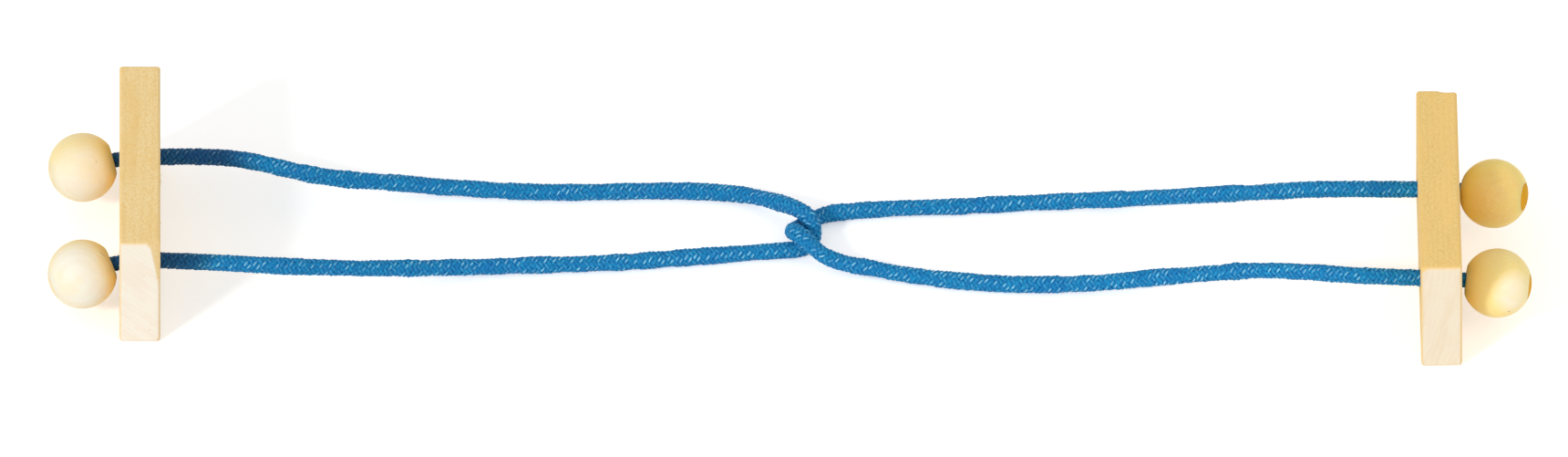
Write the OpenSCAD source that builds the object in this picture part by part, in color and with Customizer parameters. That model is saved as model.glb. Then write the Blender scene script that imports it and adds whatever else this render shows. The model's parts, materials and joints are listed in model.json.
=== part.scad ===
/* [Bars] */
// Length of each bar, front to back
bar_l = 73; // [60:1:90]
// Height of each bar, which stands on its long edge
bar_h = 40; // [34:1:50]
// Thickness of each bar
bar_t = 11.8; // [9:0.1:15]
// Bevel along the edges of a bar
bar_bevel = 0.9; // [0.3:0.1:2]
// Distance between the two holes of a bar
hole_gap = 40; // [36:1:46]
// Diameter of each hole, wide enough for three cords side by side
hole_d = 12; // [11:0.5:15]
// Height of the hole centres above the table
hole_z = 20; // [18:0.5:24]
// Bevel round the rim of each hole
rim_bevel = 0.5; // [0.2:0.1:1]
/* [Beads] */
// Diameter of each bead
bead_d = 20; // [17:0.5:24]
// Diameter of the flat where the cord goes into a bead
bead_flat_d = 8.2; // [7.5:0.1:10]
// Diameter of the plug that closes the outer end of a bead
plug_d = 8; // [6.5:0.1:9]
// Length of the plug, to the top of its rounded end
plug_l = 6.9; // [5:0.1:8]
// Glue line round the plug
plug_fit = 0.05; // [0.02:0.01:0.1]
/* [Cord] */
// Diameter of the braided cord
cord_d = 4.8; // [4:0.1:5]
// Clearance between the cord and the wood of a bead
cord_gap = 0.3; // [0.2:0.05:0.5]
/* [Travel] */
// How far a bar slides inward along its cord
bar_travel = 20; // [10:1:24]
/* [Layout] */
// Middle of a bar's thickness, measured out from the middle of the puzzle
bar_x = 187.4; // [183:0.2:192]
// How far the left bar lies to the rear, and the right bar to the front
bar_y = 5; // [0:0.5:10]
// Turn of the right bar on the table, in degrees
right_turn = 1.2; // [0:0.1:2]
/* [Hidden] */

// Colours of the woods and of the cord
bar_colour = [0.88, 0.76, 0.50];
bead_colour = [0.94, 0.85, 0.63];
plug_colour = [0.85, 0.68, 0.36];
cord_colour = [0.13, 0.46, 0.72];

// The four legs of cord, one through each hole
LEFT_REAR = 0;
LEFT_FRONT = 1;
RIGHT_REAR = 2;
RIGHT_FRONT = 3;
leg_side = [-1, -1, 1, 1];
leg_row = [1, -1, 1, -1];

// Where each leg lies in its hole, in shares of the room round it: sideways at the outer face of
// the bar, sideways at the inner end of its straight run, and in height
lane_out = [0.48, 0.06, -0.65, 0.32];
lane_in = [0.58, -0.48, -0.58, 0.81];
lane_rise = [-0.81, -0.87, -0.71, -0.58];

// How each bead hangs on its leg: turn and dip of its axis, and the gap from its skin to the bar
bead_turn = [11, 16, 13.5, 3];
bead_dip = [11, 15.5, -4.5, 5.5];
bead_gap = [1, 1.6, 0.6, 0.5];

// Derived sizes
cord_r = cord_d / 2;
cord_bore = cord_d + 2 * cord_gap;
bead_r = bead_d / 2;
flat_reach = sqrt(pow(bead_r, 2) - pow(bead_flat_d / 2, 2));
seat_floor = bead_r - plug_l - cord_gap;
lane_clear = 0.5;
lane_room = (hole_d - cord_d) / 2 - lane_clear;
lane_margin = 0.6;
lane_l = bar_t + bar_travel + lane_margin;
cut = 1;
round_fn = 72;
cord_sides = 12;

// Free run of the left cord, from the rear hole over the table, round the right cord and back.
// Each point's height is that of the cord's underside above the table
left_run = [
    [-148, 25, 12.6], [-134, 25, 8.1], [-120, 27, 4.6], [-106, 28.5, 1.6], [-92, 28.5, 0.2],
    [-78, 27.5, 0], [-64, 27, 0], [-50, 27.5, 0], [-36, 28, 0], [-22, 27.5, 0],
    [-12, 25.5, 0.6], [-6, 22, 2.2], [-1.2, 18, 4.3], [2.8, 14.6, 5.8], [6, 11.8, 5.3],
    [7.3, 9, 2.8], [6.4, 6, 0.4], [3, 4, 0], [-2, 3.4, 0], [-8, 3, 0],
    [-22, 1.5, 0], [-36, 0, 0], [-50, -1.5, 0], [-64, -2, 0], [-78, -2.8, 0.1],
    [-92, -4, 0.8], [-106, -7, 3.4], [-120, -11, 7.1], [-134, -14, 10.6], [-148, -16.5, 13.6]];

// Free run of the right cord, which comes up inside the left one and passes over it at the front
right_run = [
    [148, 14.5, 13.9], [134, 16.5, 10.6], [120, 19, 7.1], [106, 21.5, 3.6], [92, 23.5, 0.8],
    [78, 23.5, 0], [64, 22.8, 0], [50, 21.5, 0], [36, 21, 0], [22, 20, 0],
    [13, 19, 0], [8, 17, 0], [4.4, 14.4, 0], [1.8, 12, 0.2], [0.9, 9, 2.4],
    [1.6, 6.2, 4.9], [3.6, 3.4, 5.9], [6.2, 0.4, 5.4], [9.5, -2, 3.6], [14, -3, 1.6],
    [22, -3.6, 0.2], [36, -7, 0], [50, -9.2, 0], [64, -10.5, 0], [78, -10.6, 0.2],
    [92, -10.8, 1.4], [106, -11.5, 4.1], [120, -13.5, 7.6], [134, -16, 11.6], [148, -19.5, 14.6]];

// The bar that carries a leg: its centre on the table and its turn
function bar_centre(side) = [side * bar_x, -side * bar_y];
function bar_turn(side) = side > 0 ? right_turn : 0;

// Centre of the hole that a leg passes through
function hole_at(i) =
    let (side = leg_side[i], turn = bar_turn(side), reach = leg_row[i] * hole_gap / 2)
    [bar_centre(side)[0] - reach * sin(turn), bar_centre(side)[1] + reach * cos(turn), hole_z];

// Points of a leg at the outer face of its bar, halfway along its straight run and at its end
function mouth(i) =
    hole_at(i) + [leg_side[i] * bar_t / 2, lane_room * lane_out[i], lane_room * lane_rise[i]];
function lane_end(i) =
    [mouth(i)[0] - leg_side[i] * lane_l, hole_at(i)[1] + lane_room * lane_in[i], mouth(i)[2]];
function lane_middle(i) = (mouth(i) + lane_end(i)) / 2;

// Direction of a bead's axis, out from the bar, with the bead's centre and the cord's end on it
function outward(i) =
    [leg_side[i] * cos(bead_dip[i]) * cos(bead_turn[i]), -cos(bead_dip[i]) * sin(bead_turn[i]),
     -sin(bead_dip[i])];
function bead_centre(i) = mouth(i) + (bead_r + bead_gap[i]) * outward(i);
function cord_end(i) = bead_centre(i) + seat_floor * outward(i);

// Whole path of a cord's middle line from bead to bead
function route(a, run, b) =
    concat([cord_end(a), mouth(a), lane_middle(a), lane_end(a)],
           [for (p = run) p + [0, 0, cord_r]],
           [lane_end(b), lane_middle(b), mouth(b), cord_end(b)]);

// Rings of points round a path, each square to the path where it lies
function unit(v) = v / norm(v);
function heading(path, i) =
    let (last = len(path) - 1, back = path[i] - path[max(i - 1, 0)],
         ahead = path[min(i + 1, last)] - path[i])
    i == 0 ? unit(ahead) : i == last ? unit(back) : unit(unit(back) + unit(ahead));
function ring(centre, along, r) =
    let (across = unit(cross([0, 0, 1], along)), up = cross(along, across))
    [for (k = [0 : cord_sides - 1])
        let (a = 360 * k / cord_sides) centre + r * (cos(a) * across + sin(a) * up)];

module sweep(path, r) {
    rings = len(path);
    points = [for (i = [0 : rings - 1]) each ring(path[i], heading(path, i), r)];
    side_faces = [for (i = [0 : rings - 2]) for (k = [0 : cord_sides - 1])
        let (a = i * cord_sides, b = a + cord_sides, n = (k + 1) % cord_sides)
        each [[a + k, a + n, b + n], [a + k, b + n, b + k]]];
    first_cap = [for (k = [1 : cord_sides - 2]) [0, k + 1, k]];
    top = (rings - 1) * cord_sides;
    last_cap = [for (k = [1 : cord_sides - 2]) [top, top + k, top + k + 1]];
    polyhedron(points, concat(side_faces, first_cap, last_cap));
}

// Rectangle with its corners cut off
module bevelled(w, h, c) {
    x = w / 2;
    y = h / 2;
    polygon([[-x + c, -y], [x - c, -y], [x, -y + c], [x, y - c],
             [x - c, y], [-x + c, y], [-x, y - c], [-x, -y + c]]);
}

// Block with every edge bevelled, standing on the table
module bar_block() {
    translate([0, 0, bar_h / 2])
    intersection() {
        linear_extrude(bar_h, center = true) bevelled(bar_t, bar_l, bar_bevel);
        rotate([90, 0, 0]) linear_extrude(bar_l, center = true) bevelled(bar_t, bar_h, bar_bevel);
        rotate([90, 0, 90]) linear_extrude(bar_t, center = true) bevelled(bar_l, bar_h, bar_bevel);
    }
}

// Hole along X with both rims bevelled
module bar_hole() {
    rotate([0, 90, 0]) cylinder(d = hole_d, h = bar_t + 2 * cut, center = true, $fn = round_fn);
    for (face = [-1, 1])
        translate([face * bar_t / 2, 0, 0]) rotate([0, face * 90, 0])
        translate([0, 0, -rim_bevel])
        cylinder(d1 = hole_d, d2 = hole_d + 4 * rim_bevel, h = 2 * rim_bevel, $fn = round_fn);
}

module bar(side) {
    color(bar_colour)
    translate([bar_centre(side)[0], bar_centre(side)[1], 0]) rotate([0, 0, bar_turn(side)])
    difference() {
        bar_block();
        for (row = [-1, 1]) translate([0, row * hole_gap / 2, hole_z]) bar_hole();
    }
}

// Places a piece on a bead's axis, with +Z pointing out from the bar
module on_bead_axis(i) {
    way = outward(i);
    translate(bead_centre(i)) rotate([0, acos(way[2]), atan2(way[1], way[0])]) children();
}

// Turned ball with a flat where the cord goes in, bored for the cord and wider beyond it for the plug
module bead(i) {
    color(bead_colour)
    on_bead_axis(i)
    difference() {
        sphere(r = bead_r, $fn = round_fn);
        translate([0, 0, -flat_reach - bead_r]) cube(2 * bead_r, center = true);
        cylinder(d = cord_bore, h = bead_d + 2 * cut, center = true, $fn = round_fn);
        translate([0, 0, seat_floor]) cylinder(d = plug_d, h = bead_d, $fn = round_fn);
    }
}

// Plug of dowel, its outer end sanded round with the ball
module plug(i) {
    color(plug_colour)
    on_bead_axis(i)
    intersection() {
        sphere(r = bead_r, $fn = round_fn);
        translate([0, 0, bead_r - plug_l])
        cylinder(d = plug_d - 2 * plug_fit, h = bead_d, $fn = round_fn);
    }
}

module cord(a, run, b) {
    color(cord_colour) sweep(route(a, run, b), cord_r);
}

module left_bar() bar(-1);
module right_bar() bar(1);
module left_cord() cord(LEFT_REAR, left_run, LEFT_FRONT);
module right_cord() cord(RIGHT_REAR, right_run, RIGHT_FRONT);

left_bar();
right_bar();
left_cord();
right_cord();
bead(LEFT_REAR);  // left_rear_bead
bead(LEFT_FRONT);  // left_front_bead
bead(RIGHT_REAR);  // right_rear_bead
bead(RIGHT_FRONT);  // right_front_bead
plug(LEFT_REAR);  // left_rear_plug
plug(LEFT_FRONT);  // left_front_plug
plug(RIGHT_REAR);  // right_rear_plug
plug(RIGHT_FRONT);  // right_front_plug
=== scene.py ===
import json
import math

import bmesh
import bpy
import numpy as np
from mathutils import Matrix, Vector, noise


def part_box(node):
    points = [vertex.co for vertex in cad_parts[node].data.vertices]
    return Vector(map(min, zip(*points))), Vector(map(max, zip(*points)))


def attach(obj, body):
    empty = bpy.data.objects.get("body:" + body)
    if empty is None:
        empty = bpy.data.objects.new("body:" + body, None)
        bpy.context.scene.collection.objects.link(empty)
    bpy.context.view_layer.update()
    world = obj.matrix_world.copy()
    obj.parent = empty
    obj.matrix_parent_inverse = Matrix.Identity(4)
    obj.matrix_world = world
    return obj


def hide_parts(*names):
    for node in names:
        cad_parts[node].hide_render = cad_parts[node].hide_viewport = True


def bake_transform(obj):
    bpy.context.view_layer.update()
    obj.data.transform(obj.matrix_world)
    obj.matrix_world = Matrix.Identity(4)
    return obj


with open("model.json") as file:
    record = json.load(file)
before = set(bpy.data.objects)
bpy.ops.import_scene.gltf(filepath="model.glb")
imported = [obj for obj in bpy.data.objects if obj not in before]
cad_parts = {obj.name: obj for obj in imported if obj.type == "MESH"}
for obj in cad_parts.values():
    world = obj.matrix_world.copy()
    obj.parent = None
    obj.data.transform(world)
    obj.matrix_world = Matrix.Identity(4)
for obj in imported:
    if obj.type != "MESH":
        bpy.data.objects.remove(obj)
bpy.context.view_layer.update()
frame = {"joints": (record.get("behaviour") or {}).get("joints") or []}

# Sizes are in millimetres, and the scene is in metres
MM = 0.001

# Camera, in front of the puzzle and looking down on it at the photograph's angle
PHOTO_WIDTH = 1720
MM_PER_PIXEL = 0.263
CAMERA_TILT = 45
CAMERA_DISTANCE = 700
CAMERA_REACH = 10000
VIEW_MIDDLE = Vector((-1.578, 4.88, 10))


def make_camera():
    data = bpy.data.cameras.new("camera")
    data.type = "ORTHO"
    data.ortho_scale = PHOTO_WIDTH * MM_PER_PIXEL * MM
    data.clip_end = CAMERA_REACH * MM
    camera = bpy.data.objects.new("camera", data)
    bpy.context.scene.collection.objects.link(camera)
    tilt = math.radians(CAMERA_TILT)
    back = Vector((0, -math.cos(tilt), math.sin(tilt)))
    camera.location = (VIEW_MIDDLE + CAMERA_DISTANCE * back) * MM
    camera.rotation_euler = (math.pi / 2 - tilt, 0, 0)
    bpy.context.scene.camera = camera


make_camera()


# Shader graphs, where paint is at its full strength in this share of a mark's width
MARK_CORE = 0.4


class Shader:
    """Nodes of a material or world, with short calls that each add one and return its output."""

    def __init__(self, owner):
        owner.use_nodes = True
        self.owner = owner
        self.tree = owner.node_tree
        self.tree.nodes.clear()

    def add(self, kind, inputs=(), output=0, **settings):
        node = self.tree.nodes.new(kind)
        for key, value in settings.items():
            setattr(node, key, value)
        for key, value in dict(inputs).items():
            if isinstance(value, bpy.types.NodeSocket):
                self.tree.links.new(value, node.inputs[key])
            else:
                node.inputs[key].default_value = value
        return node.outputs[output]

    def attribute(self, name, output):
        return self.add("ShaderNodeAttribute", output=output, attribute_name=name)

    def parts(self, vector):
        return self.add("ShaderNodeSeparateXYZ", {0: vector}).node.outputs[:]

    def shifted(self, vector, shift):
        return self.add("ShaderNodeMapping", {"Vector": vector, "Location": shift})

    def noise(self, vector, scale, detail=2.0, roughness=0.5):
        """Smooth noise from 0 to 1, with a scale for each direction of its vector."""
        scaled = self.add("ShaderNodeMapping", {"Vector": vector, "Scale": scale})
        return self.add("ShaderNodeTexNoise", {
            "Vector": scaled, "Scale": 1.0, "Detail": detail, "Roughness": roughness})

    def math(self, operation, a, b=0.0):
        return self.add("ShaderNodeMath", {0: a, 1: b}, operation=operation)

    def product(self, value, *others):
        for other in others:
            value = self.math("MULTIPLY", value, other)
        return value

    def vectors(self, operation, a, b, output="Value"):
        return self.add("ShaderNodeVectorMath", {0: a, 1: b}, output=output, operation=operation)

    def fit(self, value, low, high, to_low=0.0, to_high=1.0):
        """A smooth step from one value to another as its input goes from low to high."""
        return self.add("ShaderNodeMapRange", {
            "Value": value, "From Min": low, "From Max": high, "To Min": to_low, "To Max": to_high},
            interpolation_type="SMOOTHSTEP")

    def mix(self, share, a, b):
        return self.add("ShaderNodeMix", {0: share, 6: a, 7: b}, output=2, data_type="RGBA")

    def layers(self, colour, *laid_over):
        """A colour with others laid over it in turn, each by its share."""
        for share, other in laid_over:
            colour = self.mix(share, colour, other)
        return colour

    def mark(self, place, colour, start, end, width, paint, share):
        """Colour with a short line of paint on it, or a dot where start and end are one point."""
        length = math.dist(start, end)
        along = Vector(end) - Vector(start) if length else Vector((0, 0, 1))
        along.normalize()
        beside = self.vectors("SUBTRACT", place, start, "Vector")
        travel = self.vectors("DOT_PRODUCT", beside, along)
        travel = self.math("MINIMUM", self.math("MAXIMUM", travel, 0.0), length)
        nearest = self.add("ShaderNodeVectorMath", {0: along, "Scale": travel}, operation="SCALE")
        away = self.vectors("DISTANCE", beside, nearest)
        return self.mix(self.fit(away, MARK_CORE * width, width, share, 0.0), colour, rgb(*paint))

    def seen(self):
        """1 for a ray that shows this to the camera, straight or by way of gloss or glass, or 0."""
        rays = self.add("ShaderNodeLightPath").node.outputs
        either = self.math("MAXIMUM", rays["Is Camera Ray"], rays["Is Glossy Ray"])
        return self.math("MAXIMUM", either, rays["Is Transmission Ray"])

    def bump(self, height, strength, depth):
        return self.add("ShaderNodeBump", {
            "Height": height, "Strength": strength, "Distance": depth * MM})

    def principled(self, **inputs):
        named = {key.replace("_", " "): value for key, value in inputs.items()}
        return self.add("ShaderNodeBsdfPrincipled", named)

    def finish(self, surface, output="ShaderNodeOutputMaterial"):
        node = self.tree.nodes.new(output)
        self.tree.links.new(surface, node.inputs["Surface"])
        return self.owner


def rgb(red, green, blue):
    """A colour as the screen shows it, from 0 to 255 each, as the linear one that shaders use."""
    def linear(c):
        c /= 255
        return c / 12.92 if c <= 0.04045 else ((c + 0.055) / 1.055) ** 2.4
    return linear(red), linear(green), linear(blue), 1.0


# Meshes
def make_piece(name, points, faces, material, vectors=(), floats=(), sharp=None):
    """A mesh object from points in millimetres, with named values on its points for the shaders."""
    mesh = bpy.data.meshes.new(name)
    mesh.from_pydata((np.asarray(points) * MM).tolist(), [], faces)
    for key, values in dict(vectors).items():
        layer = mesh.attributes.new(key, "FLOAT_VECTOR", "POINT")
        layer.data.foreach_set("vector", np.asarray(values, np.float32).ravel())
    for key, values in dict(floats).items():
        layer = mesh.attributes.new(key, "FLOAT", "POINT")
        layer.data.foreach_set("value", np.asarray(values, np.float32).ravel())
    mesh.polygons.foreach_set("use_smooth", np.ones(len(mesh.polygons), bool))
    if sharp is not None:
        mesh.set_sharp_from_angle(angle=math.radians(sharp))
    mesh.materials.append(material)
    mesh.update()
    piece = bpy.data.objects.new(name, mesh)
    bpy.context.scene.collection.objects.link(piece)
    return piece


def unit(vectors):
    return vectors / np.linalg.norm(vectors, axis=-1, keepdims=True)


def between(first, last, share):
    """What lies a share of the way from one value to another."""
    return first + (last - first) * share


def smooth(share):
    """The same share, eased at both ends."""
    return share * share * (3 - 2 * share)


# Bars, whose length, width and height come from the frame
HOLE_GAP = 40
HOLE_D = 12
HOLE_Z = 20
RIM_ROUND = 0.5
EDGE_ROUND = 0.9
# Turn of the right bar on the table, in degrees
RIGHT_TURN = 1.2


def node_box(node):
    """A node's lowest and highest corners, in millimetres."""
    return [np.array(corner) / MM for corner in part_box(node)]


left_low, left_high = node_box("left_bar")
BAR_T, BAR_L, BAR_H = left_high - left_low


def bar_centre(side):
    low, high = node_box("right_bar" if side > 0 else "left_bar")
    return (low + high) / 2


def bar_turn(side):
    return math.radians(RIGHT_TURN) if side > 0 else 0.0


# Cords, along the route that the CAD model sweeps
CORD_D = 4.8
CORD_R = CORD_D / 2
CORD_GAP = 0.3
BEAD_R = 10
BEAD_FLAT_D = 8.2
FLAT_REACH = math.sqrt(BEAD_R ** 2 - (BEAD_FLAT_D / 2) ** 2)
PLUG_D = 8
PLUG_L = 6.9
PLUG_FIT = 0.05
SEAT_FLOOR = BEAD_R - PLUG_L - CORD_GAP
BAR_TRAVEL = 20
LANE_CLEAR = 0.5
LANE_ROOM = (HOLE_D - CORD_D) / 2 - LANE_CLEAR
LANE_MARGIN = 0.6
LANE_L = BAR_T + BAR_TRAVEL + LANE_MARGIN

# Each leg: its side, its row, and its place in its hole: beside the middle at the bar's face,
# beside it at the run's end, and above it
LEGS = {
    "left_rear": (-1, 1, 0.48, 0.58, -0.81),
    "left_front": (-1, -1, 0.06, -0.48, -0.87),
    "right_rear": (1, 1, -0.65, -0.58, -0.71),
    "right_front": (1, -1, 0.32, 0.81, -0.58),
}

# Free runs from rear to front, each point with the height of the cord's underside
LEFT_RUN = [
    (-148, 25, 12.6), (-134, 25, 8.1), (-120, 27, 4.6), (-106, 28.5, 1.6), (-92, 28.5, 0.2),
    (-78, 27.5, 0), (-64, 27, 0), (-50, 27.5, 0), (-36, 28, 0), (-22, 27.5, 0),
    (-12, 25.5, 0.6), (-6, 22, 2.2), (-1.2, 18, 4.3), (2.8, 14.6, 5.8), (6, 11.8, 5.3),
    (7.3, 9, 2.8), (6.4, 6, 0.4), (3, 4, 0), (-2, 3.4, 0), (-8, 3, 0),
    (-22, 1.5, 0), (-36, 0, 0), (-50, -1.5, 0), (-64, -2, 0), (-78, -2.8, 0.1),
    (-92, -4, 0.8), (-106, -7, 3.4), (-120, -11, 7.1), (-134, -14, 10.6), (-148, -16.5, 13.6)]
RIGHT_RUN = [
    (148, 14.5, 13.9), (134, 16.5, 10.6), (120, 19, 7.1), (106, 21.5, 3.6), (92, 23.5, 0.8),
    (78, 23.5, 0), (64, 22.8, 0), (50, 21.5, 0), (36, 21, 0), (22, 20, 0),
    (13, 19, 0), (8, 17, 0), (4.4, 14.4, 0), (1.8, 12, 0.2), (0.9, 9, 2.4),
    (1.6, 6.2, 4.9), (3.6, 3.4, 5.9), (6.2, 0.4, 5.4), (9.5, -2, 3.6), (14, -3, 1.6),
    (22, -3.6, 0.2), (36, -7, 0), (50, -9.2, 0), (64, -10.5, 0), (78, -10.6, 0.2),
    (92, -10.8, 1.4), (106, -11.5, 4.1), (120, -13.5, 7.6), (134, -16, 11.6), (148, -19.5, 14.6)]

bead_joints = {joint["child"]: joint for joint in frame["joints"] if joint["type"] == "hinge"}


def bead_place(leg):
    """A bead's centre and the direction of its axis, out from the bar."""
    joint = bead_joints[leg + "_bead"]
    return np.array(joint["pos_m"]) / MM, unit(np.array(joint["axis"]))


def leg_points(leg):
    """Points of a leg from the cord's end in its bead to the inner end of its straight run."""
    side, row, out, inner, rise = LEGS[leg]
    turn = bar_turn(side)
    reach = row * HOLE_GAP / 2
    hole = bar_centre(side) + np.array((-reach * math.sin(turn), reach * math.cos(turn), 0))
    hole[2] = HOLE_Z
    mouth = hole + (side * BAR_T / 2, LANE_ROOM * out, LANE_ROOM * rise)
    lane_end = np.array((mouth[0] - side * LANE_L, hole[1] + LANE_ROOM * inner, mouth[2]))
    centre, outward = bead_place(leg)
    cord_end = centre + SEAT_FLOOR * outward
    return [cord_end, mouth, (mouth + lane_end) / 2, lane_end]


def route(rear_leg, run, front_leg):
    """Points of a cord's whole way, from the rear bead round to the front one."""
    middle = [np.array(point) + (0, 0, CORD_R) for point in run]
    return np.array(leg_points(rear_leg) + middle + leg_points(front_leg)[::-1])


# Steps of the curve between one point and the next
SPAN_STEPS = 60


def spline(points):
    """A smooth curve that starts and ends at the first and last point."""
    first, last = 2 * points[0] - points[1], 2 * points[-1] - points[-2]
    held = np.vstack([first, points, last])
    t = np.linspace(0, 1, SPAN_STEPS, endpoint=False)[:, None]
    weights = [(1 - t) ** 3, 3 * t ** 3 - 6 * t ** 2 + 4,
               -3 * t ** 3 + 3 * t ** 2 + 3 * t + 1, t ** 3]
    spans = [sum(w * held[i + k] for k, w in enumerate(weights)) / 6
             for i in range(len(points) - 1)]
    return np.vstack(spans + [points[-1]])


def spaced(line, step):
    """The same curve with its points evenly spaced, and how far along it each lies."""
    travel = np.concatenate([[0], np.cumsum(np.linalg.norm(np.diff(line, axis=0), axis=1))])
    along = np.linspace(0, travel[-1], round(travel[-1] / step) + 1)
    return np.stack([np.interp(along, travel, line[:, k]) for k in range(3)], 1), along


def carried_frame(line):
    """Two directions across a curve, which turn no more than the curve does."""
    along = unit(np.gradient(line, axis=0))
    side = np.empty_like(line)
    side[0] = unit(np.cross((0, 0, 1), along[0]))
    for i in range(1, len(line)):
        side[i] = side[i - 1] - (side[i - 1] @ along[i]) * along[i]
        side[i] /= np.linalg.norm(side[i])
    return side, np.cross(along, side)


def turned(side, up, angle):
    """Directions across a line after a turn round it."""
    c, s = np.cos(angle)[:, None], np.sin(angle)[:, None]
    return c * side + s * up, c * up - s * side


def drift(along, strength, spacing, random):
    """A smooth random value along a line, with a new aim at each spacing."""
    knots = int(along[-1] / spacing) + 3
    aims = random.uniform(-1, 1, knots)
    at = along / spacing
    low = at.astype(int)
    return strength * between(aims[low], aims[low + 1], smooth(at - low))


def tube(rings):
    """Points and faces of a closed tube from its rings of points."""
    count, sides = rings.shape[:2]
    ring = np.arange(sides)
    ahead = np.roll(ring, -1)
    starts = (np.arange(count - 1) * sides)[:, None]
    quads = np.stack([starts + ring, starts + ahead, starts + ahead + sides,
                      starts + ring + sides], -1).reshape(-1, 4)
    caps = [ring[::-1].tolist(), (ring + (count - 1) * sides).tolist()]
    return rings.reshape(-1, 3), quads.tolist() + caps


# Round braid of eight carriers, four each way, each of two yarns side by side
CARRIERS_PER_WAY = 4
BRAID_LEAD = 10.4
YARN_STEP = 0.36
CARRIER_HALF_WIDTH = 1.06
CARRIER_HALF_THICKNESS = 0.46
CARRIER_SLACK = 0.1
WIDER_ON_TOP = 0.06
BRAID_WAVE = 0.28
BRAID_PROUD = 0.22
BRAID_R = CORD_R + BRAID_PROUD - CARRIER_HALF_THICKNESS - BRAID_WAVE
# Section of a carrier: across and outward, with a dip between its two yarns
CARRIER_SECTION = np.array([
    (-1, -0.2), (-0.86, 0.66), (-0.42, 0.95), (0, 0.28), (0.42, 0.95), (0.86, 0.66), (1, -0.2)])
YARN_CROWN = 0.6
# Each carrier starts at its own place in the pattern of the dye
PATTERN_START = 40
PATTERN_APART = 500
# How strongly the braid drifts, and how far apart along the cord it takes a new aim
SLOW_TURN = (1.4, 60)
QUICK_TURN = (0.35, 17)
LUMPS = (0.09, 5)
FINE_LUMPS = (0.02, 4)
SWAY = (0.12, 9)
SLACK_DRIFT = (CARRIER_SLACK, 2.3)
WIDTH_DRIFT = (0.06, 1.9)
THICKNESS_DRIFT = (0.1, 1.6)
# The braid is pressed in where it runs into its bead, and lies even where it runs through a bar
PRESSED_SHARE = 0.9
PRESSED_LENGTH = 15
PRESSED_EASE = 6
EVEN_LENGTH = 47
EVEN_EASE = 20
# Core, which lies deeper than any carrier
CORE_R = 1.75
CORE_SIDES = 10
CORE_EVERY = 4
# The core's lift, lower than any carrier's, gives it the full painted shade of the deep gaps
CORE_LIFT = -1.5

# Loose fibres that stand off the cord
FIBRES_PER_MM = 7
FIBRE_R = (0.012, 0.024)
FIBRE_TAPER = (1, 0.8, 0.3)
FIBRE_SIDES = 3
FIBRE_LENGTH = (0.4, 1.3)
FIBRE_RISE = (0.05, 0.42)
FIBRE_ROOT = 0.15
FIBRE_BEND = 0.45
FIBRE_FALL = 0.7
FIBRE_TURN = 0.8
FIBRE_LIFT = 0.4
# What is left of a fibre's length and rise where the braid lies even
EVEN_FIBRE_LENGTH = 0.5
EVEN_FIBRE_RISE = 0.1


def carriers(middle, along, side, up, size, random):
    """Rings of each carrier of a braid, and their shader values."""
    for way in (1, -1):
        for k in range(CARRIERS_PER_WAY):
            turn = 2 * math.pi * (k / CARRIERS_PER_WAY + way * along / BRAID_LEAD)
            lift = way * np.cos(CARRIERS_PER_WAY * turn)
            out = turned(side, up, turn)[0]
            slack = CARRIER_SLACK + drift(along, *SLACK_DRIFT, random)
            radius = (BRAID_R + BRAID_WAVE * lift) * size - slack
            centre = middle + radius[:, None] * out
            ahead = unit(np.gradient(centre, axis=0))
            face = unit(out - np.sum(out * ahead, 1)[:, None] * ahead)
            across = np.cross(ahead, face)
            wide = 1 + WIDER_ON_TOP * lift + drift(along, *WIDTH_DRIFT, random)
            thick = 1 + drift(along, *THICKNESS_DRIFT, random)
            reach = np.outer(CARRIER_HALF_WIDTH * wide, CARRIER_SECTION[:, 0])
            rise = np.outer(CARRIER_HALF_THICKNESS * thick, CARRIER_SECTION[:, 1])
            rings = (centre[:, None] + reach[..., None] * across[:, None]
                     + rise[..., None] * face[:, None])
            values = np.empty(rings.shape)
            values[..., 0] = (way * (along + PATTERN_START + PATTERN_APART * k))[:, None]
            values[..., 1] = CARRIER_SECTION[:, 0]
            values[..., 2] = lift[:, None]
            yield rings, values


def core(middle, side, up):
    """Rings of the core inside the carriers, and their shader values."""
    angles = np.arange(CORE_SIDES) * 2 * math.pi / CORE_SIDES
    spokes = (np.cos(angles)[:, None] * side[::CORE_EVERY, None]
              + np.sin(angles)[:, None] * up[::CORE_EVERY, None])
    return middle[::CORE_EVERY, None] + CORE_R * PRESSED_SHARE * spokes, (0, 0, CORE_LIFT)


def loose_fibres(middle, along, side, up, loose, random):
    """Rings and shader values of each fibre, which starts in the cord, rises and lies over."""
    turns = np.arange(FIBRE_SIDES) * 2 * math.pi / FIBRE_SIDES
    for _ in range(round(along[-1] * FIBRES_PER_MM)):
        at = random.integers(len(middle))
        angle = random.uniform(0, 2 * math.pi)
        out = math.cos(angle) * side[at] + math.sin(angle) * up[at]
        ahead = np.cross(up[at], side[at])
        round_it = np.cross(ahead, out)
        lean = random.uniform(-1, 1)
        over = unit(lean * ahead + random.choice((-FIBRE_TURN, FIBRE_TURN)) * round_it)
        length = random.uniform(*FIBRE_LENGTH) * between(EVEN_FIBRE_LENGTH, 1, loose[at])
        rise = random.uniform(*FIBRE_RISE) * between(EVEN_FIBRE_RISE, 1, loose[at])
        thick = random.uniform(*FIBRE_R)
        root = middle[at] + (CORD_R - FIBRE_ROOT) * out
        bend = root + FIBRE_BEND * length * over + (FIBRE_ROOT + rise) * out
        tip = root + length * over + (FIBRE_ROOT + FIBRE_FALL * rise) * out
        across = np.cross(over, out)
        ring = np.cos(turns)[:, None] * across + np.sin(turns)[:, None] * out
        if tip[2] > thick and bend[2] > thick:
            rings = [p + thick * share * ring for p, share in zip((root, bend, tip), FIBRE_TAPER)]
            yield np.stack(rings), (along[at], YARN_CROWN, FIBRE_LIFT)


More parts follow.
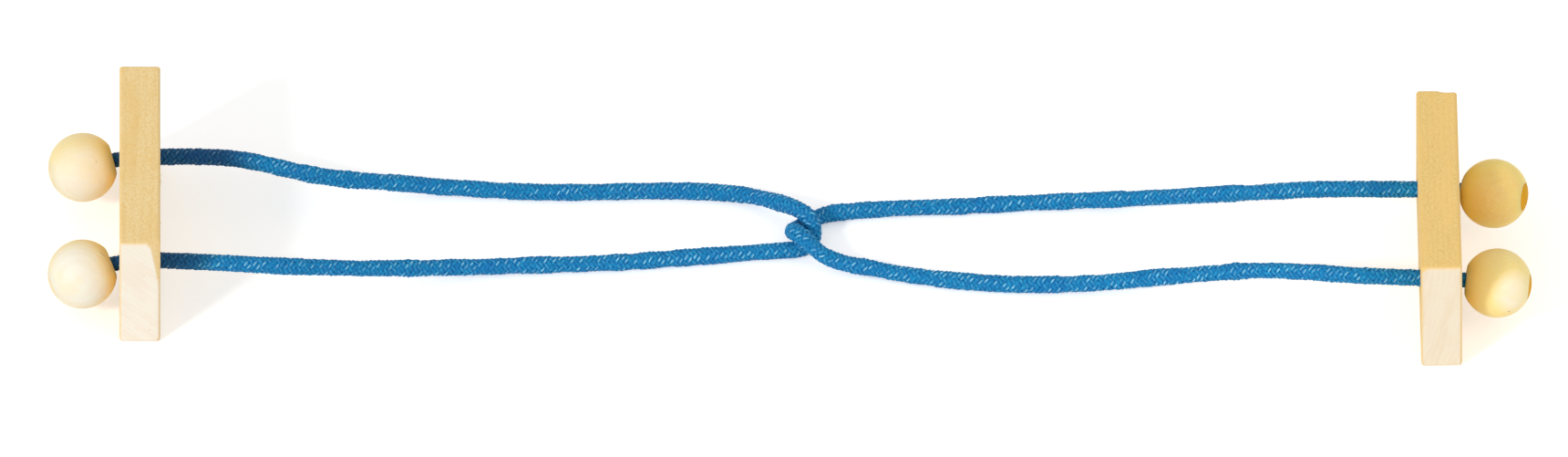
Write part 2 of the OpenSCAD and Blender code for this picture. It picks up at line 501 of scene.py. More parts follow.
# The cord's underside is pressed together below this height, so that none goes through the floor
FLOOR_EASE = 0.35


def rested(points):
    """The same points, pressed together near the floor."""
    low = points[:, 2] < FLOOR_EASE
    points[low, 2] = FLOOR_EASE * np.exp(points[low, 2] / FLOOR_EASE - 1)
    return points


# Points of the line that show which way it runs at its end
END_POINTS = 4


def squared_off(points, line):
    """The same points, with what stands past either end of the line pressed back to it."""
    for end, inner in ((line[0], line[END_POINTS]), (line[-1], line[-1 - END_POINTS])):
        outward = unit(end - inner)
        past = (points - end) @ outward
        beyond = (past > 0) & (np.linalg.norm(points - end, axis=1) < CORD_D)
        points[beyond] -= past[beyond, None] * outward
    return points


def braid(line, along, random):
    """Points, faces and shader values of a braided cord round a line."""
    side, up = carried_frame(line)
    turn = drift(along, *SLOW_TURN, random) + drift(along, *QUICK_TURN, random)
    side, up = turned(side, up, turn)
    from_end = np.minimum(along, along[-1] - along)
    loose = np.clip((from_end - EVEN_LENGTH) / EVEN_EASE, 0, 1)
    unpressed = np.clip((from_end - PRESSED_LENGTH) / PRESSED_EASE, 0, 1)
    lumps = loose * drift(along, *LUMPS, random) + drift(along, *FINE_LUMPS, random)
    size = between(PRESSED_SHARE, 1, unpressed) * (1 + lumps)
    middle = line + (loose * drift(along, *SWAY, random))[:, None] * side
    strands = [*carriers(middle, along, side, up, size, random), core(middle, side, up),
               *loose_fibres(middle, along, side, up, loose, random)]
    points, faces, yarn = [], [], []
    start = 0
    for rings, values in strands:
        new_points, new_faces = tube(rings)
        points.append(new_points)
        faces += [[start + i for i in face] for face in new_faces]
        yarn.append(np.broadcast_to(values, rings.shape).reshape(-1, 3))
        start += len(new_points)
    return rested(squared_off(np.vstack(points), line)), faces, np.vstack(yarn)


# Painted shadow of the left bar: the cord is darker by the left bar, from a line that slants across
# the table
PAINTED_SHADOW_X = (-173, -157)
PAINTED_SHADOW_SLANT = 0.3
PAINTED_SHADOW_SHARE = 0.62


def cord_material():
    """Dyed cotton: yarns of fine fibres, with painted highlights as pale streaks on their crowns,
    painted shade as deep blue between them, and a painted shadow by the left bar.
    """
    s = Shader(bpy.data.materials.new("cord_cotton"))
    yarn = s.attribute("yarn", "Vector")
    place = s.attribute("place", "Vector")
    along, across, lift = s.parts(yarn)
    x, y, _ = s.parts(place)
    fibres = s.noise(yarn, (1.5, 8.0, 0.2), 3.0, 0.6)
    stitches = s.noise(yarn, (0.4, 0.5, 0.0), 1.0)
    patches = s.noise(place, (0.12, 0.12, 0.12))
    mottle = s.noise(place, (1.3, 1.3, 1.3))
    off_crown = s.math("ABSOLUTE", s.math("SUBTRACT", s.math("ABSOLUTE", across), YARN_CROWN))
    left_bar_shadow_line = s.math("SUBTRACT", x, s.math("MULTIPLY", y, PAINTED_SHADOW_SLANT))
    # Painted highlights: pale streaks lie on top, on the crowns, in dashes, and more on the carriers
    # that run one way
    painted_highlights = s.product(
        s.fit(off_crown, 0.0, 0.3, 1.0, 0.0), s.fit(lift, 0.3, 0.95), s.fit(stitches, 0.42, 0.58),
        s.fit(fibres, 0.3, 0.6), s.fit(along, -1.0, 1.0, 1.0, 0.2))
    dye_and_painted_light = s.layers(
        s.mix(s.fit(fibres, 0.32, 0.68), rgb(0, 106, 168), rgb(22, 164, 218)),
        (s.fit(mottle, 0.42, 0.7, 0.0, 0.6), rgb(0, 96, 164)),
        (s.fit(mottle, 0.3, 0.42, 0.45, 0.0), rgb(52, 172, 212)),
        (s.fit(patches, 0.45, 0.7, 0.0, 0.3), rgb(8, 112, 186)),
        # Painted shade: deeper blue where a carrier dips under the others, and off the crowns in the
        # dip between its two yarns
        (s.fit(lift, -1.0, 0.1, 0.6, 0.0), rgb(0, 70, 130)),
        (s.product(s.fit(off_crown, 0.3, 0.6), 0.4), rgb(0, 84, 150)),
        # Painted highlights along the crowns
        (painted_highlights, rgb(168, 232, 250)),
        # Painted shadow of the left bar, deep navy on the cord beside it
        (s.fit(left_bar_shadow_line, *PAINTED_SHADOW_X, PAINTED_SHADOW_SHARE, 0.0), rgb(18, 28, 92)))
    surface = s.principled(Base_Color=dye_and_painted_light, Roughness=0.6, Specular_IOR_Level=0.22,
                           Sheen_Weight=0.06, Sheen_Roughness=0.4,
                           Normal=s.bump(fibres, 0.5, 0.25))
    return s.finish(surface)


cord_cotton = cord_material()
# One point in this many of a cord's line is kept for its path
PATH_EVERY = 4


def make_cord(name, knots, seed):
    """A braided cord along a route."""
    line, along = spaced(spline(knots), YARN_STEP)
    random = np.random.default_rng(seed)
    points, faces, yarn = braid(line, along, random)
    piece = make_piece(name, points, faces, cord_cotton,
                       vectors={"yarn": yarn, "place": points})
    path = line[::PATH_EVERY].tolist() + [line[-1].tolist()]
    [[c * MM for c in point] for point in path]
    return piece


left_cord = make_cord("left_braid", route("left_rear", LEFT_RUN, "left_front"), seed=5)
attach(left_cord, "left_cord")
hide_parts("left_cord")

right_cord = make_cord("right_braid", route("right_rear", RIGHT_RUN, "right_front"), seed=11)
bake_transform(right_cord)
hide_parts("right_cord")


# Floor, lamps and white surroundings
WHITE = (1, 1, 1, 1)
FLOOR_HALF = 2500
FLOOR_PAPER = (0.9, 0.9, 0.9, 1)
FLOOR_GLOW = 0.4
AMBIENT = 0.62
# Each lamp's azimuth turns from the left towards the front, and its height up from level
KEY_AZIMUTH, KEY_HEIGHT = 43, 34
KEY_STRENGTH = 1.3
KEY_SPREAD = 9
SOFTBOX_AZIMUTH, SOFTBOX_HEIGHT = 140, 33
SOFTBOX_POWER = 0.5
SOFTBOX_SIZE = 300
SOFTBOX_AIM = Vector((200, 0, 20))
SOFTBOX_DISTANCE = 450


def make_floor():
    s = Shader(bpy.data.materials.new("floor_white"))
    paper = s.add("ShaderNodeBsdfDiffuse", {"Color": FLOOR_PAPER})
    glow = s.add("ShaderNodeEmission", {
        "Color": WHITE, "Strength": s.math("MULTIPLY", s.seen(), FLOOR_GLOW)})
    material = s.finish(s.add("ShaderNodeAddShader", {0: paper, 1: glow}))
    half = FLOOR_HALF * MM
    mesh = bpy.data.meshes.new("floor")
    corners = [(-half, -half, 0), (half, -half, 0), (half, half, 0), (-half, half, 0)]
    mesh.from_pydata(corners, [], [(0, 1, 2, 3)])
    mesh.materials.append(material)
    floor = bpy.data.objects.new("floor", mesh)
    bpy.context.scene.collection.objects.link(floor)


def make_world():
    s = Shader(bpy.data.worlds.new("surroundings"))
    strength = s.add("ShaderNodeMapRange", {"Value": s.seen(), "To Min": AMBIENT, "To Max": 1.0})
    background = s.add("ShaderNodeBackground", {"Color": WHITE, "Strength": strength})
    bpy.context.scene.world = s.finish(background, "ShaderNodeOutputWorld")


def lamp_direction(azimuth, height):
    """From the object to a lamp, from angles in degrees."""
    azimuth, height = math.radians(azimuth), math.radians(height)
    return Vector((-math.cos(height) * math.cos(azimuth), -math.cos(height) * math.sin(azimuth),
                   math.sin(height)))


def make_lamp(name, kind, strength, towards, place=(0, 0, 0)):
    data = bpy.data.lights.new(name, kind)
    data.energy = strength
    lamp = bpy.data.objects.new(name, data)
    bpy.context.scene.collection.objects.link(lamp)
    lamp.location = place
    lamp.rotation_euler = towards.to_track_quat("Z", "Y").to_euler()
    lamp.visible_camera = False
    return data


make_floor()
key = make_lamp("key", "SUN", KEY_STRENGTH, lamp_direction(KEY_AZIMUTH, KEY_HEIGHT))
key.angle = math.radians(KEY_SPREAD)
towards_softbox = lamp_direction(SOFTBOX_AZIMUTH, SOFTBOX_HEIGHT)
softbox = make_lamp("softbox", "AREA", SOFTBOX_POWER, towards_softbox,
                    (SOFTBOX_AIM + SOFTBOX_DISTANCE * towards_softbox) * MM)
softbox.size = SOFTBOX_SIZE * MM
make_world()
bpy.context.scene.view_settings.view_transform = "Standard"


# Bars
FACE_STEP = 0.7
FACE_ROWS = 12
ROUND_STEPS = 5
THICKNESS_STEPS = 34
HOLE_STEPS = 8
# Rows of points on the large faces crowd towards the hole by this power
FACE_CROWDING = 1.3
# Points this near each other become one, and edges shorter than this go
WELD_REACH = 1e-4
LEAST_EDGE = 1e-5


def edge_points(a, b):
    """Evenly spaced points from a towards b, without b."""
    count = max(1, round(math.dist(a, b) / FACE_STEP))
    return [np.add(a, np.subtract(b, a) * i / count) for i in range(count)]


def quarter_turns():
    """Angles of the steps of a rounded edge."""
    return [math.pi / 2 * i / ROUND_STEPS for i in range(ROUND_STEPS + 1)]


def grid(rows):
    """Points and quads of a grid of rows, each row closed into a loop."""
    count, wide = len(rows), len(rows[0])
    quads = [(i * wide + j, i * wide + (j + 1) % wide, (i + 1) * wide + (j + 1) % wide,
              (i + 1) * wide + j) for i in range(count - 1) for j in range(wide)]
    return [point for row in rows for point in row], quads


def hole_half(row):
    """One half of both large faces, and the hole through it with its rounded rims."""
    half_t, flat_l, flat_h = BAR_T / 2, BAR_L / 2 - EDGE_ROUND, BAR_H / 2 - EDGE_ROUND
    corners = [(0, -flat_h), (row * flat_l, -flat_h), (row * flat_l, flat_h), (0, flat_h)]
    border = [p for i in range(4) for p in edge_points(corners[i], corners[(i + 1) % 4])]
    middle = np.array((row * HOLE_GAP / 2, HOLE_Z - BAR_H / 2))
    rays = [unit(p - middle) for p in border]
    rim_r = HOLE_D / 2 + RIM_ROUND
    rim = [(half_t - RIM_ROUND * (1 - math.cos(t)), rim_r - RIM_ROUND * math.sin(t))
           for t in quarter_turns()]
    depths = np.linspace(half_t - RIM_ROUND, RIM_ROUND - half_t, HOLE_STEPS + 1)[1:-1]
    bore = rim + [(x, HOLE_D / 2) for x in depths] + [(-x, r) for x, r in rim[::-1]]
    yield grid([[(x, *(middle + r * ray)) for ray in rays] for x, r in bore])
    shares = [(i / FACE_ROWS) ** FACE_CROWDING for i in range(FACE_ROWS + 1)]
    for face in (-1, 1):
        yield grid([[(face * half_t, *between(middle + rim_r * ray, p, share))
                     for p, ray in zip(border, rays)] for share in shares])


def rim_of_bar():
    """The four narrow faces of a bar, rounded into each other and towards the large faces."""
    half_t, flat_l, flat_h = BAR_T / 2, BAR_L / 2 - EDGE_ROUND, BAR_H / 2 - EDGE_ROUND
    outline = [(-flat_l, -flat_h), (0, -flat_h), (flat_l, -flat_h), (flat_l, flat_h), (0, flat_h),
               (-flat_l, flat_h)]
    normals = [(0, -1), (0, -1), (1, 0), (0, 1), (0, 1), (-1, 0)]
    spread = []
    for i, start in enumerate(outline):
        before, after = np.array(normals[i - 1]), np.array(normals[i])
        if (before != after).any():
            spread += [(start, math.cos(t) * before + math.sin(t) * after)
                       for t in quarter_turns()[:-1]]
        spread += [(p, after) for p in edge_points(start, outline[(i + 1) % len(outline)])]
    bend = [(half_t - EDGE_ROUND * (1 - math.cos(t)), EDGE_ROUND * math.sin(t))
            for t in quarter_turns()]
    across = np.linspace(half_t - EDGE_ROUND, EDGE_ROUND - half_t, THICKNESS_STEPS + 1)[1:-1]
    side = bend + [(x, EDGE_ROUND) for x in across] + [(-x, r) for x, r in bend[::-1]]
    return grid([[(x, *(p + r * normal)) for p, normal in spread] for x, r in side])


def welded(parts):
    """One closed surface from parts that meet: its points, their normals and its faces."""
    shell = bmesh.new()
    for points, faces in parts:
        corners = [shell.verts.new(point) for point in points]
        for face in faces:
            shell.faces.new([corners[i] for i in face])
    bmesh.ops.remove_doubles(shell, verts=shell.verts, dist=WELD_REACH)
    bmesh.ops.dissolve_degenerate(shell, edges=shell.edges, dist=LEAST_EDGE)
    bmesh.ops.recalc_face_normals(shell, faces=shell.faces)
    shell.verts.index_update()
    points = np.array([v.co for v in shell.verts])
    normals = np.array([v.normal for v in shell.verts])
    faces = [[v.index for v in face.verts] for face in shell.faces]
    shell.free()
    return points, normals, faces


# Lower long edges are worn rounder than the rest
LOW_EDGE_ROUND = 1.5


def ease_low_edges(points):
    """Moves what stands outside the rounder lower edges in on to them."""
    points = points.copy()
    aside = abs(points[:, 0]) - (BAR_T / 2 - LOW_EDGE_ROUND)
    below = -points[:, 2] - (BAR_H / 2 - LOW_EDGE_ROUND)
    reach = np.hypot(aside, below)
    outside = (aside > 0) & (below > 0) & (reach > LOW_EDGE_ROUND)
    share = LOW_EDGE_ROUND / reach[outside]
    points[outside, 0] = np.sign(points[outside, 0]) * (
        BAR_T / 2 - LOW_EDGE_ROUND + share * aside[outside])
    points[outside, 2] = -(BAR_H / 2 - LOW_EDGE_ROUND + share * below[outside])
    return points


# Corner of the left bar that was sanded away: its width on the end face at heights up the bar
FACET_HEIGHTS = (0, 15.6, 23.4, 27.3, 32.8, 38, 40)
FACET_WIDTHS = (0.3, 0.44, 0.66, 1.1, 1.94, 2.8, 4.3)
FACET_SLOPE = 0.5
# Its edge is ragged by up to this much, at this many changes per millimetre
FACET_RAGGED = 0.2
FACET_RAGS_PER_MM = 1.1
FACET_SEED = 4
# How far outside the facet a point lay where side grain starts to show, and shows in full
FACET_FADE = (-0.064, 0.096)


def sand_corner(points):
    """Moves what stands outside the sanded facet back on to it, and says how far each lay outside."""
    width = np.interp(points[:, 2] + BAR_H / 2, FACET_HEIGHTS, FACET_WIDTHS)
    width += [FACET_RAGGED * noise.noise(Vector((FACET_RAGS_PER_MM * z, 0, FACET_SEED)))
              for z in points[:, 2]]
    normal = unit(np.array((FACET_SLOPE, -1.0)))
    edge = np.stack([BAR_T / 2 - width, np.full(len(points), -BAR_L / 2)], 1)
    outside = (points[:, :2] - edge) @ normal
    points = points.copy()
    points[:, :2] -= np.maximum(outside, 0)[:, None] * normal
    return points, outside


# Saw cut at the rear of the right bar, which steps back towards the bead
STEP_DEPTH = 0.7
STEP_FROM, STEP_TO = -0.6, 2.6
STEP_REACH = 4


def step_back(points):
    """Moves the outer part of the rear end in, with a smooth step."""
    share = np.clip((points[:, 0] - STEP_FROM) / (STEP_TO - STEP_FROM), 0, 1)
    near_end = np.clip((points[:, 1] - BAR_L / 2 + STEP_REACH) / STEP_REACH, 0, 1)
    points = points.copy()
    points[:, 1] -= STEP_DEPTH * smooth(share) * near_end
    return points


# Splinters on the upper inner edge of the left bar: place along it, half length and height
SPLINTERS = ((-7.6, 0.9, 0.2), (-9.6, 0.7, 0.26), (-11.4, 0.8, 0.14), (-27.3, 0.6, 0.32))
# How far in from the edge, and down from it, they take points along
SPLINTER_IN = 0.5
SPLINTER_DOWN = 0.9


def raise_splinters(points):
    """Moves the edge out to a point at each splinter."""
    points = points.copy()
    on_edge = ((points[:, 0] > BAR_T / 2 - SPLINTER_IN)
               & (points[:, 2] > BAR_H / 2 - SPLINTER_DOWN))
    for middle, reach, height in SPLINTERS:
        share = np.clip(1 - abs(points[:, 1] - middle) / reach, 0, 1)
        points[on_edge, 0] += (height * share)[on_edge]
    return points


# Wear along the edges, in broad patches with smaller ones on them
WEAR = 0.1
WEAR_REACH = 0.8
WEAR_PATCHES_PER_MM = 0.33
SMALL_WEAR = 0.5
SMALL_PATCHES_PER_MM = 0.9
# How far golden side grain reaches into a worn corner, and in from the edge that faces right
WORN_CORNER = 1.9
RIGHT_EDGE_GOLD = 0.45
# Shares of end grain that stay where side grain is bared, and on that edge
BARED_END = 0.1
RIGHT_EDGE_GOLD_END = 0.5
# How far end grain reaches in from the end of a bar
END_GRAIN_REACH = 0.7 * EDGE_ROUND
# A point this near a large face is on it, and shows broad grain by this share
FLUSH = 0.01
BROAD_GRAIN = 0.6
# Angle in degrees from which an edge of a bar is shaded as a sharp one
BAR_CREASE = 50


def wear_at(point, seed):
    """How worn a bar is at a point, which only counts above 0."""
    patches = noise.noise(Vector(point) * WEAR_PATCHES_PER_MM + Vector((seed, 0, 0)))
    small = noise.noise(Vector(point) * SMALL_PATCHES_PER_MM + Vector((0, seed, 0)))
    return patches + SMALL_WEAR * small


def make_bar(name, side, grain_turn, seed, material):
    """A bar, shaped and worn level and then turned to its place, with its values for the shader."""
    local, normals, faces = welded([*hole_half(-1), *hole_half(1), rim_of_bar()])
    room = np.array((BAR_T, BAR_L, BAR_H)) / 2 - abs(local)
    from_edge = np.sort(room, 1)[:, 1]
    end = np.clip(1 - room[:, 1] / END_GRAIN_REACH, 0, 1)
    broad = np.where(room[:, 0] < FLUSH, BROAD_GRAIN, 0.0)
    worn = np.array([wear_at(point, seed) for point in local])
    depth = WEAR * np.clip(worn, 0, 1) * np.exp(-from_edge / WEAR_REACH)
    shaped = ease_low_edges(local - depth[:, None] * normals)
    if side < 0:
        shaped, outside = sand_corner(raise_splinters(shaped))
        end = between(end, np.minimum(end, BARED_END), np.interp(outside, FACET_FADE, (0, 1)))
    else:
        shaped = step_back(shaped)
    from_corner = BAR_T / 2 + side * local[:, 0] + BAR_H / 2 - side * local[:, 2]
    end = np.where(from_corner < WORN_CORNER, np.minimum(end, BARED_END), end)
    end = np.where(BAR_T / 2 - local[:, 0] < RIGHT_EDGE_GOLD, np.minimum(end, RIGHT_EDGE_GOLD_END), end)
    turn = bar_turn(side)
    spin = np.array([(math.cos(turn), math.sin(turn), 0), (-math.sin(turn), math.cos(turn), 0),
                     (0, 0, 1)])
    placed = shaped @ spin + bar_centre(side)
    slant = math.radians(grain_turn)
    grain = np.stack([shaped[:, 0] * math.cos(slant) + shaped[:, 2] * math.sin(slant),
                      shaped[:, 1],
                      shaped[:, 2] * math.cos(slant) - shaped[:, 0] * math.sin(slant)], 1)
    return make_piece(name, placed, faces, material,
                      vectors={"grain": grain, "place": shaped},
                      floats={"edge": from_edge, "end": end, "broad": broad}, sharp=BAR_CREASE)


def growth_rings(s, away, spacing):
    """Late wood lines, from 0 to 1, at even steps of a distance across the growth."""
    phase = s.math("FRACT", s.math("DIVIDE", away, spacing))
    return s.product(s.fit(phase, 0.1, 0.86), s.fit(phase, 0.90, 1.0, 1.0, 0.0))


# Growth rings of the bars: their spacing, their bow and how far they wander
BAR_RINGS = 1.6
RING_BOW = 0.004
RING_BEND = 5.0
# Share of a bar's own tint in its end grain
END_TINT_SHARE = 0.35


def bar_material(name, shift, deep, pale, end_tint, marks):
    """Pale close-grained hardwood, golden along the grain and cream on the end grain."""
    s = Shader(bpy.data.materials.new(name))
    grain = s.shifted(s.attribute("grain", "Vector"), shift)
    place = s.attribute("place", "Vector")
    edge = s.attribute("edge", "Fac")
    broad = s.attribute("broad", "Fac")
    x, _, z = s.parts(grain)
    bend = s.noise(grain, (0.05, 0.012, 0.05))
    fibres = s.noise(grain, (7.0, 0.7, 7.0), 3.0, 0.6)
    flecks = s.noise(grain, (1.7, 1.2, 1.7), 4.0, 0.65)
    dashes = s.noise(grain, (3.2, 0.55, 3.2))
    blotches = s.noise(grain, (0.16, 0.05, 0.16), 3.0)
    vessels = s.noise(grain, (3.5, 0.5, 3.5), 2.0, 0.6)
    bands = s.noise(grain, (0.35, 0.02, 0.08))
    bowed = s.math("ADD", x, s.product(z, z, RING_BOW))
    rings = growth_rings(s, s.math("ADD", bowed, s.math("MULTIPLY", bend, RING_BEND)), BAR_RINGS)
    long_grain = s.layers(
        s.mix(s.fit(flecks, 0.34, 0.66), deep, pale),
        (s.fit(fibres, 0.45, 0.72, 0.0, 0.22), rgb(255, 238, 192)),
        (s.fit(blotches, 0.38, 0.66, 0.0, 0.5), rgb(246, 204, 124)),
        (s.product(rings, s.fit(broad, 0.0, 1.0, 0.1, 0.22)), rgb(222, 172, 96)),
        (s.product(s.fit(dashes, 0.56, 0.66), broad), rgb(226, 172, 96)))
    ring_lines = s.product(rings, s.fit(vessels, 0.4, 0.6, 0.2, 1.0),
                           s.fit(blotches, 0.35, 0.65, 0.05, 0.17))
    end_grain = s.layers(
        s.mix(s.fit(vessels, 0.35, 0.65), rgb(253, 240, 216), rgb(255, 249, 236)),
        (s.fit(bands, 0.42, 0.66, 0.0, 0.35), rgb(248, 222, 190)),
        (ring_lines, rgb(230, 182, 132)),
        (END_TINT_SHARE, end_tint))
    worn = s.product(s.fit(edge, 0.1, 1.1, 0.34, 0.0), s.fit(flecks, 0.3, 0.7, 0.5, 1.0))
    end = s.attribute("end", "Fac")
    wood = s.layers(long_grain, (end, end_grain), (worn, rgb(240, 192, 112)))
    for line in marks:
        wood = s.mark(place, wood, *line)
    relief = s.math("ADD", fibres, s.math("MULTIPLY", flecks, 0.6))
    surface = s.principled(Base_Color=wood, Roughness=s.fit(fibres, 0.2, 0.8, 0.55, 0.7),
                           Specular_IOR_Level=0.35, Normal=s.bump(relief, 0.3, 0.12))
    return s.finish(surface)


# Marks on the bars: start, end, width, colour and strength
LEFT_BAR_MARKS = [
    ((1.2, -36.5, 7.1), (1.2, -36.5, 7.1), 0.3, (206, 154, 100), 0.5),
    ((2.8, -36.5, -14.9), (2.9, -36.5, -15.1), 0.26, (216, 170, 120), 0.4),
    ((3.0, -35.8, 18.4), (3.5, -35.6, 17.6), 0.34, (206, 140, 62), 0.6),
    ((3.4, -35.6, 16.6), (3.7, -35.5, 16.2), 0.3, (214, 150, 76), 0.5),
]
RIGHT_BAR_MARKS = [
    ((5.3, -36.5, 12.6), (5.3, -36.5, 12.6), 0.3, (255, 250, 238), 0.8),
]
left_wood = bar_material(
    "left_bar_wood", shift=(0, 0, 0), deep=rgb(246, 209, 136), pale=rgb(253, 227, 169),
    end_tint=rgb(255, 246, 230), marks=LEFT_BAR_MARKS)
right_wood = bar_material(
    "right_bar_wood", shift=(31, 57, 13), deep=rgb(231, 191, 106), pale=rgb(239, 206, 131),
    end_tint=rgb(201, 176, 127), marks=RIGHT_BAR_MARKS)
left_bar = make_bar("left_block", side=-1, grain_turn=48, seed=1, material=left_wood)
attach(left_bar, "left_bar")
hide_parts("left_bar")
right_bar = make_bar("right_block", side=1, grain_turn=-18, seed=2, material=right_wood)
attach(right_bar, "right_bar")
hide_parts("right_bar")


# Beads and plugs
LATHE_STEPS = 96
BALL_STEPS = 36
BEND_STEPS = 8
DOME_STEPS = 10
RIM_STEPS = 4
BEAD_BORE_R = CORD_R + CORD_GAP
BEAD_RIM = 0.3
FLAT_ROUND = 3.0
SEAT_RIM = 0.12
# Angle in degrees from which an edge of a turned piece is shaded as a sharp one
TURNED_CREASE = 35


def lathe(profile):
    """Points and quads of a profile of radius and height, turned round the third axis."""
    turns = [2 * math.pi * k / LATHE_STEPS for k in range(LATHE_STEPS)]
    return grid([[(r * math.cos(t), r * math.sin(t), z) for t in turns] for r, z in profile])


def arc(centre_r, centre_z, radius, start, stop, steps):
    """Points of a round of the profile, between two angles in degrees."""
    turns = np.radians(np.linspace(start, stop, steps + 1))
    return [(centre_r + radius * math.cos(t), centre_z + radius * math.sin(t)) for t in turns]


def bead_profile():
    """Half section of a bead: bore, rim, flat, ball, plug seat and its floor."""
    plug_r = PLUG_D / 2
    bend_z = FLAT_REACH - FLAT_ROUND
    bend_r = math.sqrt((BEAD_R - FLAT_ROUND) ** 2 - bend_z ** 2)
    meet = math.degrees(math.atan2(bend_z, bend_r))
    seat = math.degrees(math.acos((plug_r + SEAT_RIM) / BEAD_R))
    bore_rim = arc(BEAD_BORE_R + BEAD_RIM, BEAD_RIM - FLAT_REACH, BEAD_RIM, 180, 270, RIM_STEPS)
    flat_edge = arc(bend_r, -bend_z, FLAT_ROUND, -90, -meet, BEND_STEPS)
    ball = arc(0, 0, BEAD_R, -meet, seat, BALL_STEPS)
    seat_rim = (plug_r, ball[-1][1] - SEAT_RIM)
    profile = bore_rim + flat_edge + ball[1:] + [seat_rim, (plug_r, SEAT_FLOOR),
                                                 (BEAD_BORE_R, SEAT_FLOOR)]
    return profile + profile[:1]


def plug_profile():
    """Half section of a plug, its outer end rounded with the ball and its edge eased."""
    r = PLUG_D / 2 - PLUG_FIT
    edge = math.degrees(math.acos((r - SEAT_RIM) / BEAD_R))
    dome = arc(0, 0, BEAD_R, edge, 90, DOME_STEPS)[:-1]
    floor = BEAD_R - PLUG_L
    return [(0, floor), (r, floor), (r, dome[0][1] - SEAT_RIM)] + dome + [(0, BEAD_R)]


def bead_basis(outward):
    """Directions of a bead's own coordinates: two across its axis, and the axis."""
    across = unit(np.cross((0, 0, 1), outward))
    return np.stack([across, np.cross(outward, across), outward])


def make_turned(name, leg, profile, material, node):
    """A turned piece at a leg's bead, with its own coordinates for the shader."""
    local, _, faces = welded([lathe(profile)])
    centre, outward = bead_place(leg)
    placed = local @ bead_basis(outward) + centre
    piece = make_piece(name, placed, faces, material, vectors={"grain": local},
                       sharp=TURNED_CREASE)
    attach(piece, leg + "_bead")
    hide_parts(node)


def on_bead(leg, right, up):
    """Point of a bead, in its own coordinates, so far right of and above its middle in the view."""
    tilt = math.radians(CAMERA_TILT)
    near = math.sqrt(BEAD_R ** 2 - right ** 2 - up ** 2)
    point = (right, up * math.sin(tilt) - near * math.cos(tilt),
             up * math.cos(tilt) + near * math.sin(tilt))
    return bead_basis(bead_place(leg)[1]) @ point


# Spacing of a bead's growth rings, and how far its grain wanders
BEAD_RINGS = 1.5
GRAIN_BEND = 3.0
# Painted shade: gold towards the end that faces the bar, where shade falls between bead and bar: the
# heights between which it fades, and its share
PAINTED_SHADE_HEIGHTS = (-9.5, -4.5)
PAINTED_SHADE_SHARE = 0.45


def bead_material(leg, painted_lit_tint, shaded_side_and_blotch_tint, painted_light_side, reach, shift, marks):
    """Polished hardwood turned to a ball: painted light makes one side pale, painted shade makes the
    other side golden, and painted shade makes it golden towards the bar.
    """
    s = Shader(bpy.data.materials.new(leg + "_bead_wood"))
    rest = s.attribute("grain", "Vector")
    height = s.parts(rest)[2]
    grain = s.shifted(rest, shift)
    bend = s.noise(grain, (0.10, 0.10, 0.10))
    fibres = s.noise(grain, (6.0, 6.0, 0.9), 3.0, 0.6)
    blotches = s.noise(grain, (0.18, 0.18, 0.12), 3.0)
    specks = s.noise(grain, (2.2, 2.2, 1.4))
    depth = s.vectors("DOT_PRODUCT", rest, on_bead(leg, *painted_light_side) / BEAD_R)
    depth = s.math("ADD", depth, s.math("MULTIPLY", s.math("SUBTRACT", bend, 0.5), GRAIN_BEND))
    rings = s.product(growth_rings(s, depth, BEAD_RINGS), s.fit(bend, 0.4, 0.6, 0.01, 0.05))
    wood = s.layers(
        # Painted light and shade: pale on the side towards the light, golden on the side away from it
        s.mix(s.fit(depth, *reach), shaded_side_and_blotch_tint, painted_lit_tint),
        (s.fit(blotches, 0.4, 0.7, 0.0, 0.3), shaded_side_and_blotch_tint),
        (s.fit(specks, 0.4, 0.65, 0.0, 0.12), rgb(255, 244, 220)),
        (rings, rgb(206, 150, 78)),
        (s.fit(fibres, 0.5, 0.8, 0.0, 0.10), rgb(222, 176, 104)),
        # Painted shade, golden towards the bar
        (s.fit(height, *PAINTED_SHADE_HEIGHTS, PAINTED_SHADE_SHARE, 0.0), rgb(255, 214, 88)))
    for start, end, *paint in marks:
        wood = s.mark(rest, wood, on_bead(leg, *start), on_bead(leg, *end), *paint)
    surface = s.principled(Base_Color=wood, Roughness=0.48, Specular_IOR_Level=0.3,
                           Subsurface_Weight=0.4, Subsurface_Radius=(1.0, 0.7, 0.4),
                           Subsurface_Scale=4 * MM, Normal=s.bump(fibres, 0.15, 0.08))
    return s.finish(surface)


def plug_material(name, dots_tint, tint, arcs_tint):
    """End grain of a dowel, sanded round with the bead."""
    s = Shader(bpy.data.materials.new(name))
    grain = s.attribute("grain", "Vector")
    dots = s.noise(grain, (5.0, 5.0, 0.8), 3.0, 0.6)
    arcs = s.noise(grain, (0.35, 1.2, 0.2))
    wood = s.layers(s.mix(s.fit(dots, 0.3, 0.7), dots_tint, tint),
                    (s.fit(arcs, 0.5, 0.7, 0.0, 0.4), arcs_tint))
    surface = s.principled(Base_Color=wood, Roughness=0.6, Specular_IOR_Level=0.12,
                           Normal=s.bump(dots, 0.3, 0.1))
    return s.finish(surface)


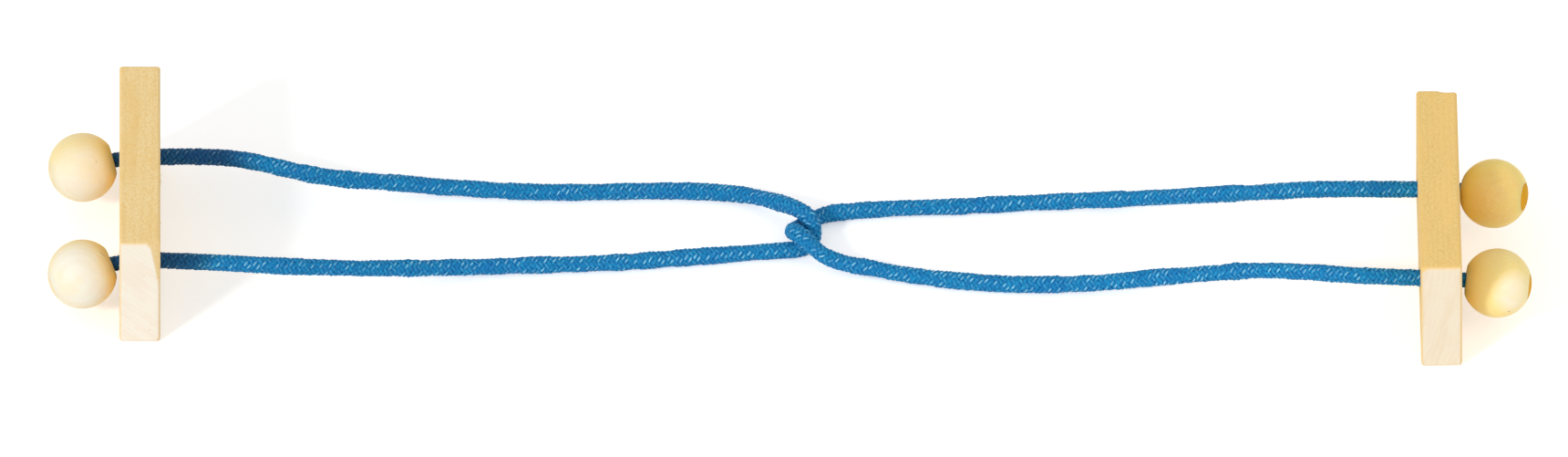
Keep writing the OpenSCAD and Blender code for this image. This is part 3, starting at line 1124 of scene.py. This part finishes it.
# Marks on the beads, placed as on_bead takes them: start, end, width, colour and strength
LEFT_REAR_MARKS = [((3.9, 1.6), (3.9, 1.6), 0.3, (196, 146, 92), 0.55)]
LEFT_FRONT_MARKS = [
    ((4.75, 6.1), (6.1, 4.9), 0.4, (255, 246, 216), 0.75),
    ((5.1, 6.35), (6.3, 5.2), 0.34, (210, 162, 96), 0.5),
    ((7.3, 3.3), (7.5, 2.2), 0.5, (255, 240, 200), 0.3),
]
RIGHT_FRONT_MARKS = [((3.3, -8.2), (3.4, -8.3), 0.3, (160, 108, 60), 0.7)]
# Wood of each bead: its painted lit tint and its tint for the painted shade and blotches, the side
# that the painted light is on, how far out from the middle that starts and is full, its place in the
# grain, and its marks
BEAD_WOODS = {
    "left_rear": dict(
        painted_lit_tint=rgb(253, 244, 230), shaded_side_and_blotch_tint=rgb(255, 229, 166), painted_light_side=(-0.2, -4.3), reach=(2, 10),
        shift=(0, 0, 60), marks=LEFT_REAR_MARKS),
    "left_front": dict(
        painted_lit_tint=rgb(254, 246, 230), shaded_side_and_blotch_tint=rgb(255, 228, 168), painted_light_side=(-1.6, -1.8), reach=(0, 8.5),
        shift=(7, 3, 120), marks=LEFT_FRONT_MARKS),
    # Its tints are golden all over as painted shade, for the shade of the bar that falls on it
    "right_rear": dict(
        painted_lit_tint=rgb(244, 208, 122), shaded_side_and_blotch_tint=rgb(254, 224, 120), painted_light_side=(2.8, -1.5), reach=(2, 9),
        shift=(3, 11, 180), marks=()),
    "right_front": dict(
        painted_lit_tint=rgb(250, 237, 220), shaded_side_and_blotch_tint=rgb(254, 224, 142), painted_light_side=(4.9, -3.6), reach=(6.8, 10.8),
        shift=(13, 5, 240), marks=RIGHT_FRONT_MARKS),
}
PLUG_WOODS = {
    -1: plug_material("left_plug_wood", rgb(248, 224, 176), rgb(253, 238, 206), rgb(238, 206, 150)),
    1: plug_material("right_plug_wood", rgb(216, 152, 10), rgb(226, 168, 22), rgb(196, 130, 12)),
}
for leg, wood in BEAD_WOODS.items():
    bead_wood = bead_material(leg, **wood)
    plug_wood = PLUG_WOODS[LEGS[leg][0]]
    make_turned(leg + "_ball", leg, bead_profile(), bead_wood, leg + "_bead")
    make_turned(leg + "_stopper", leg, plug_profile(), plug_wood, leg + "_plug")
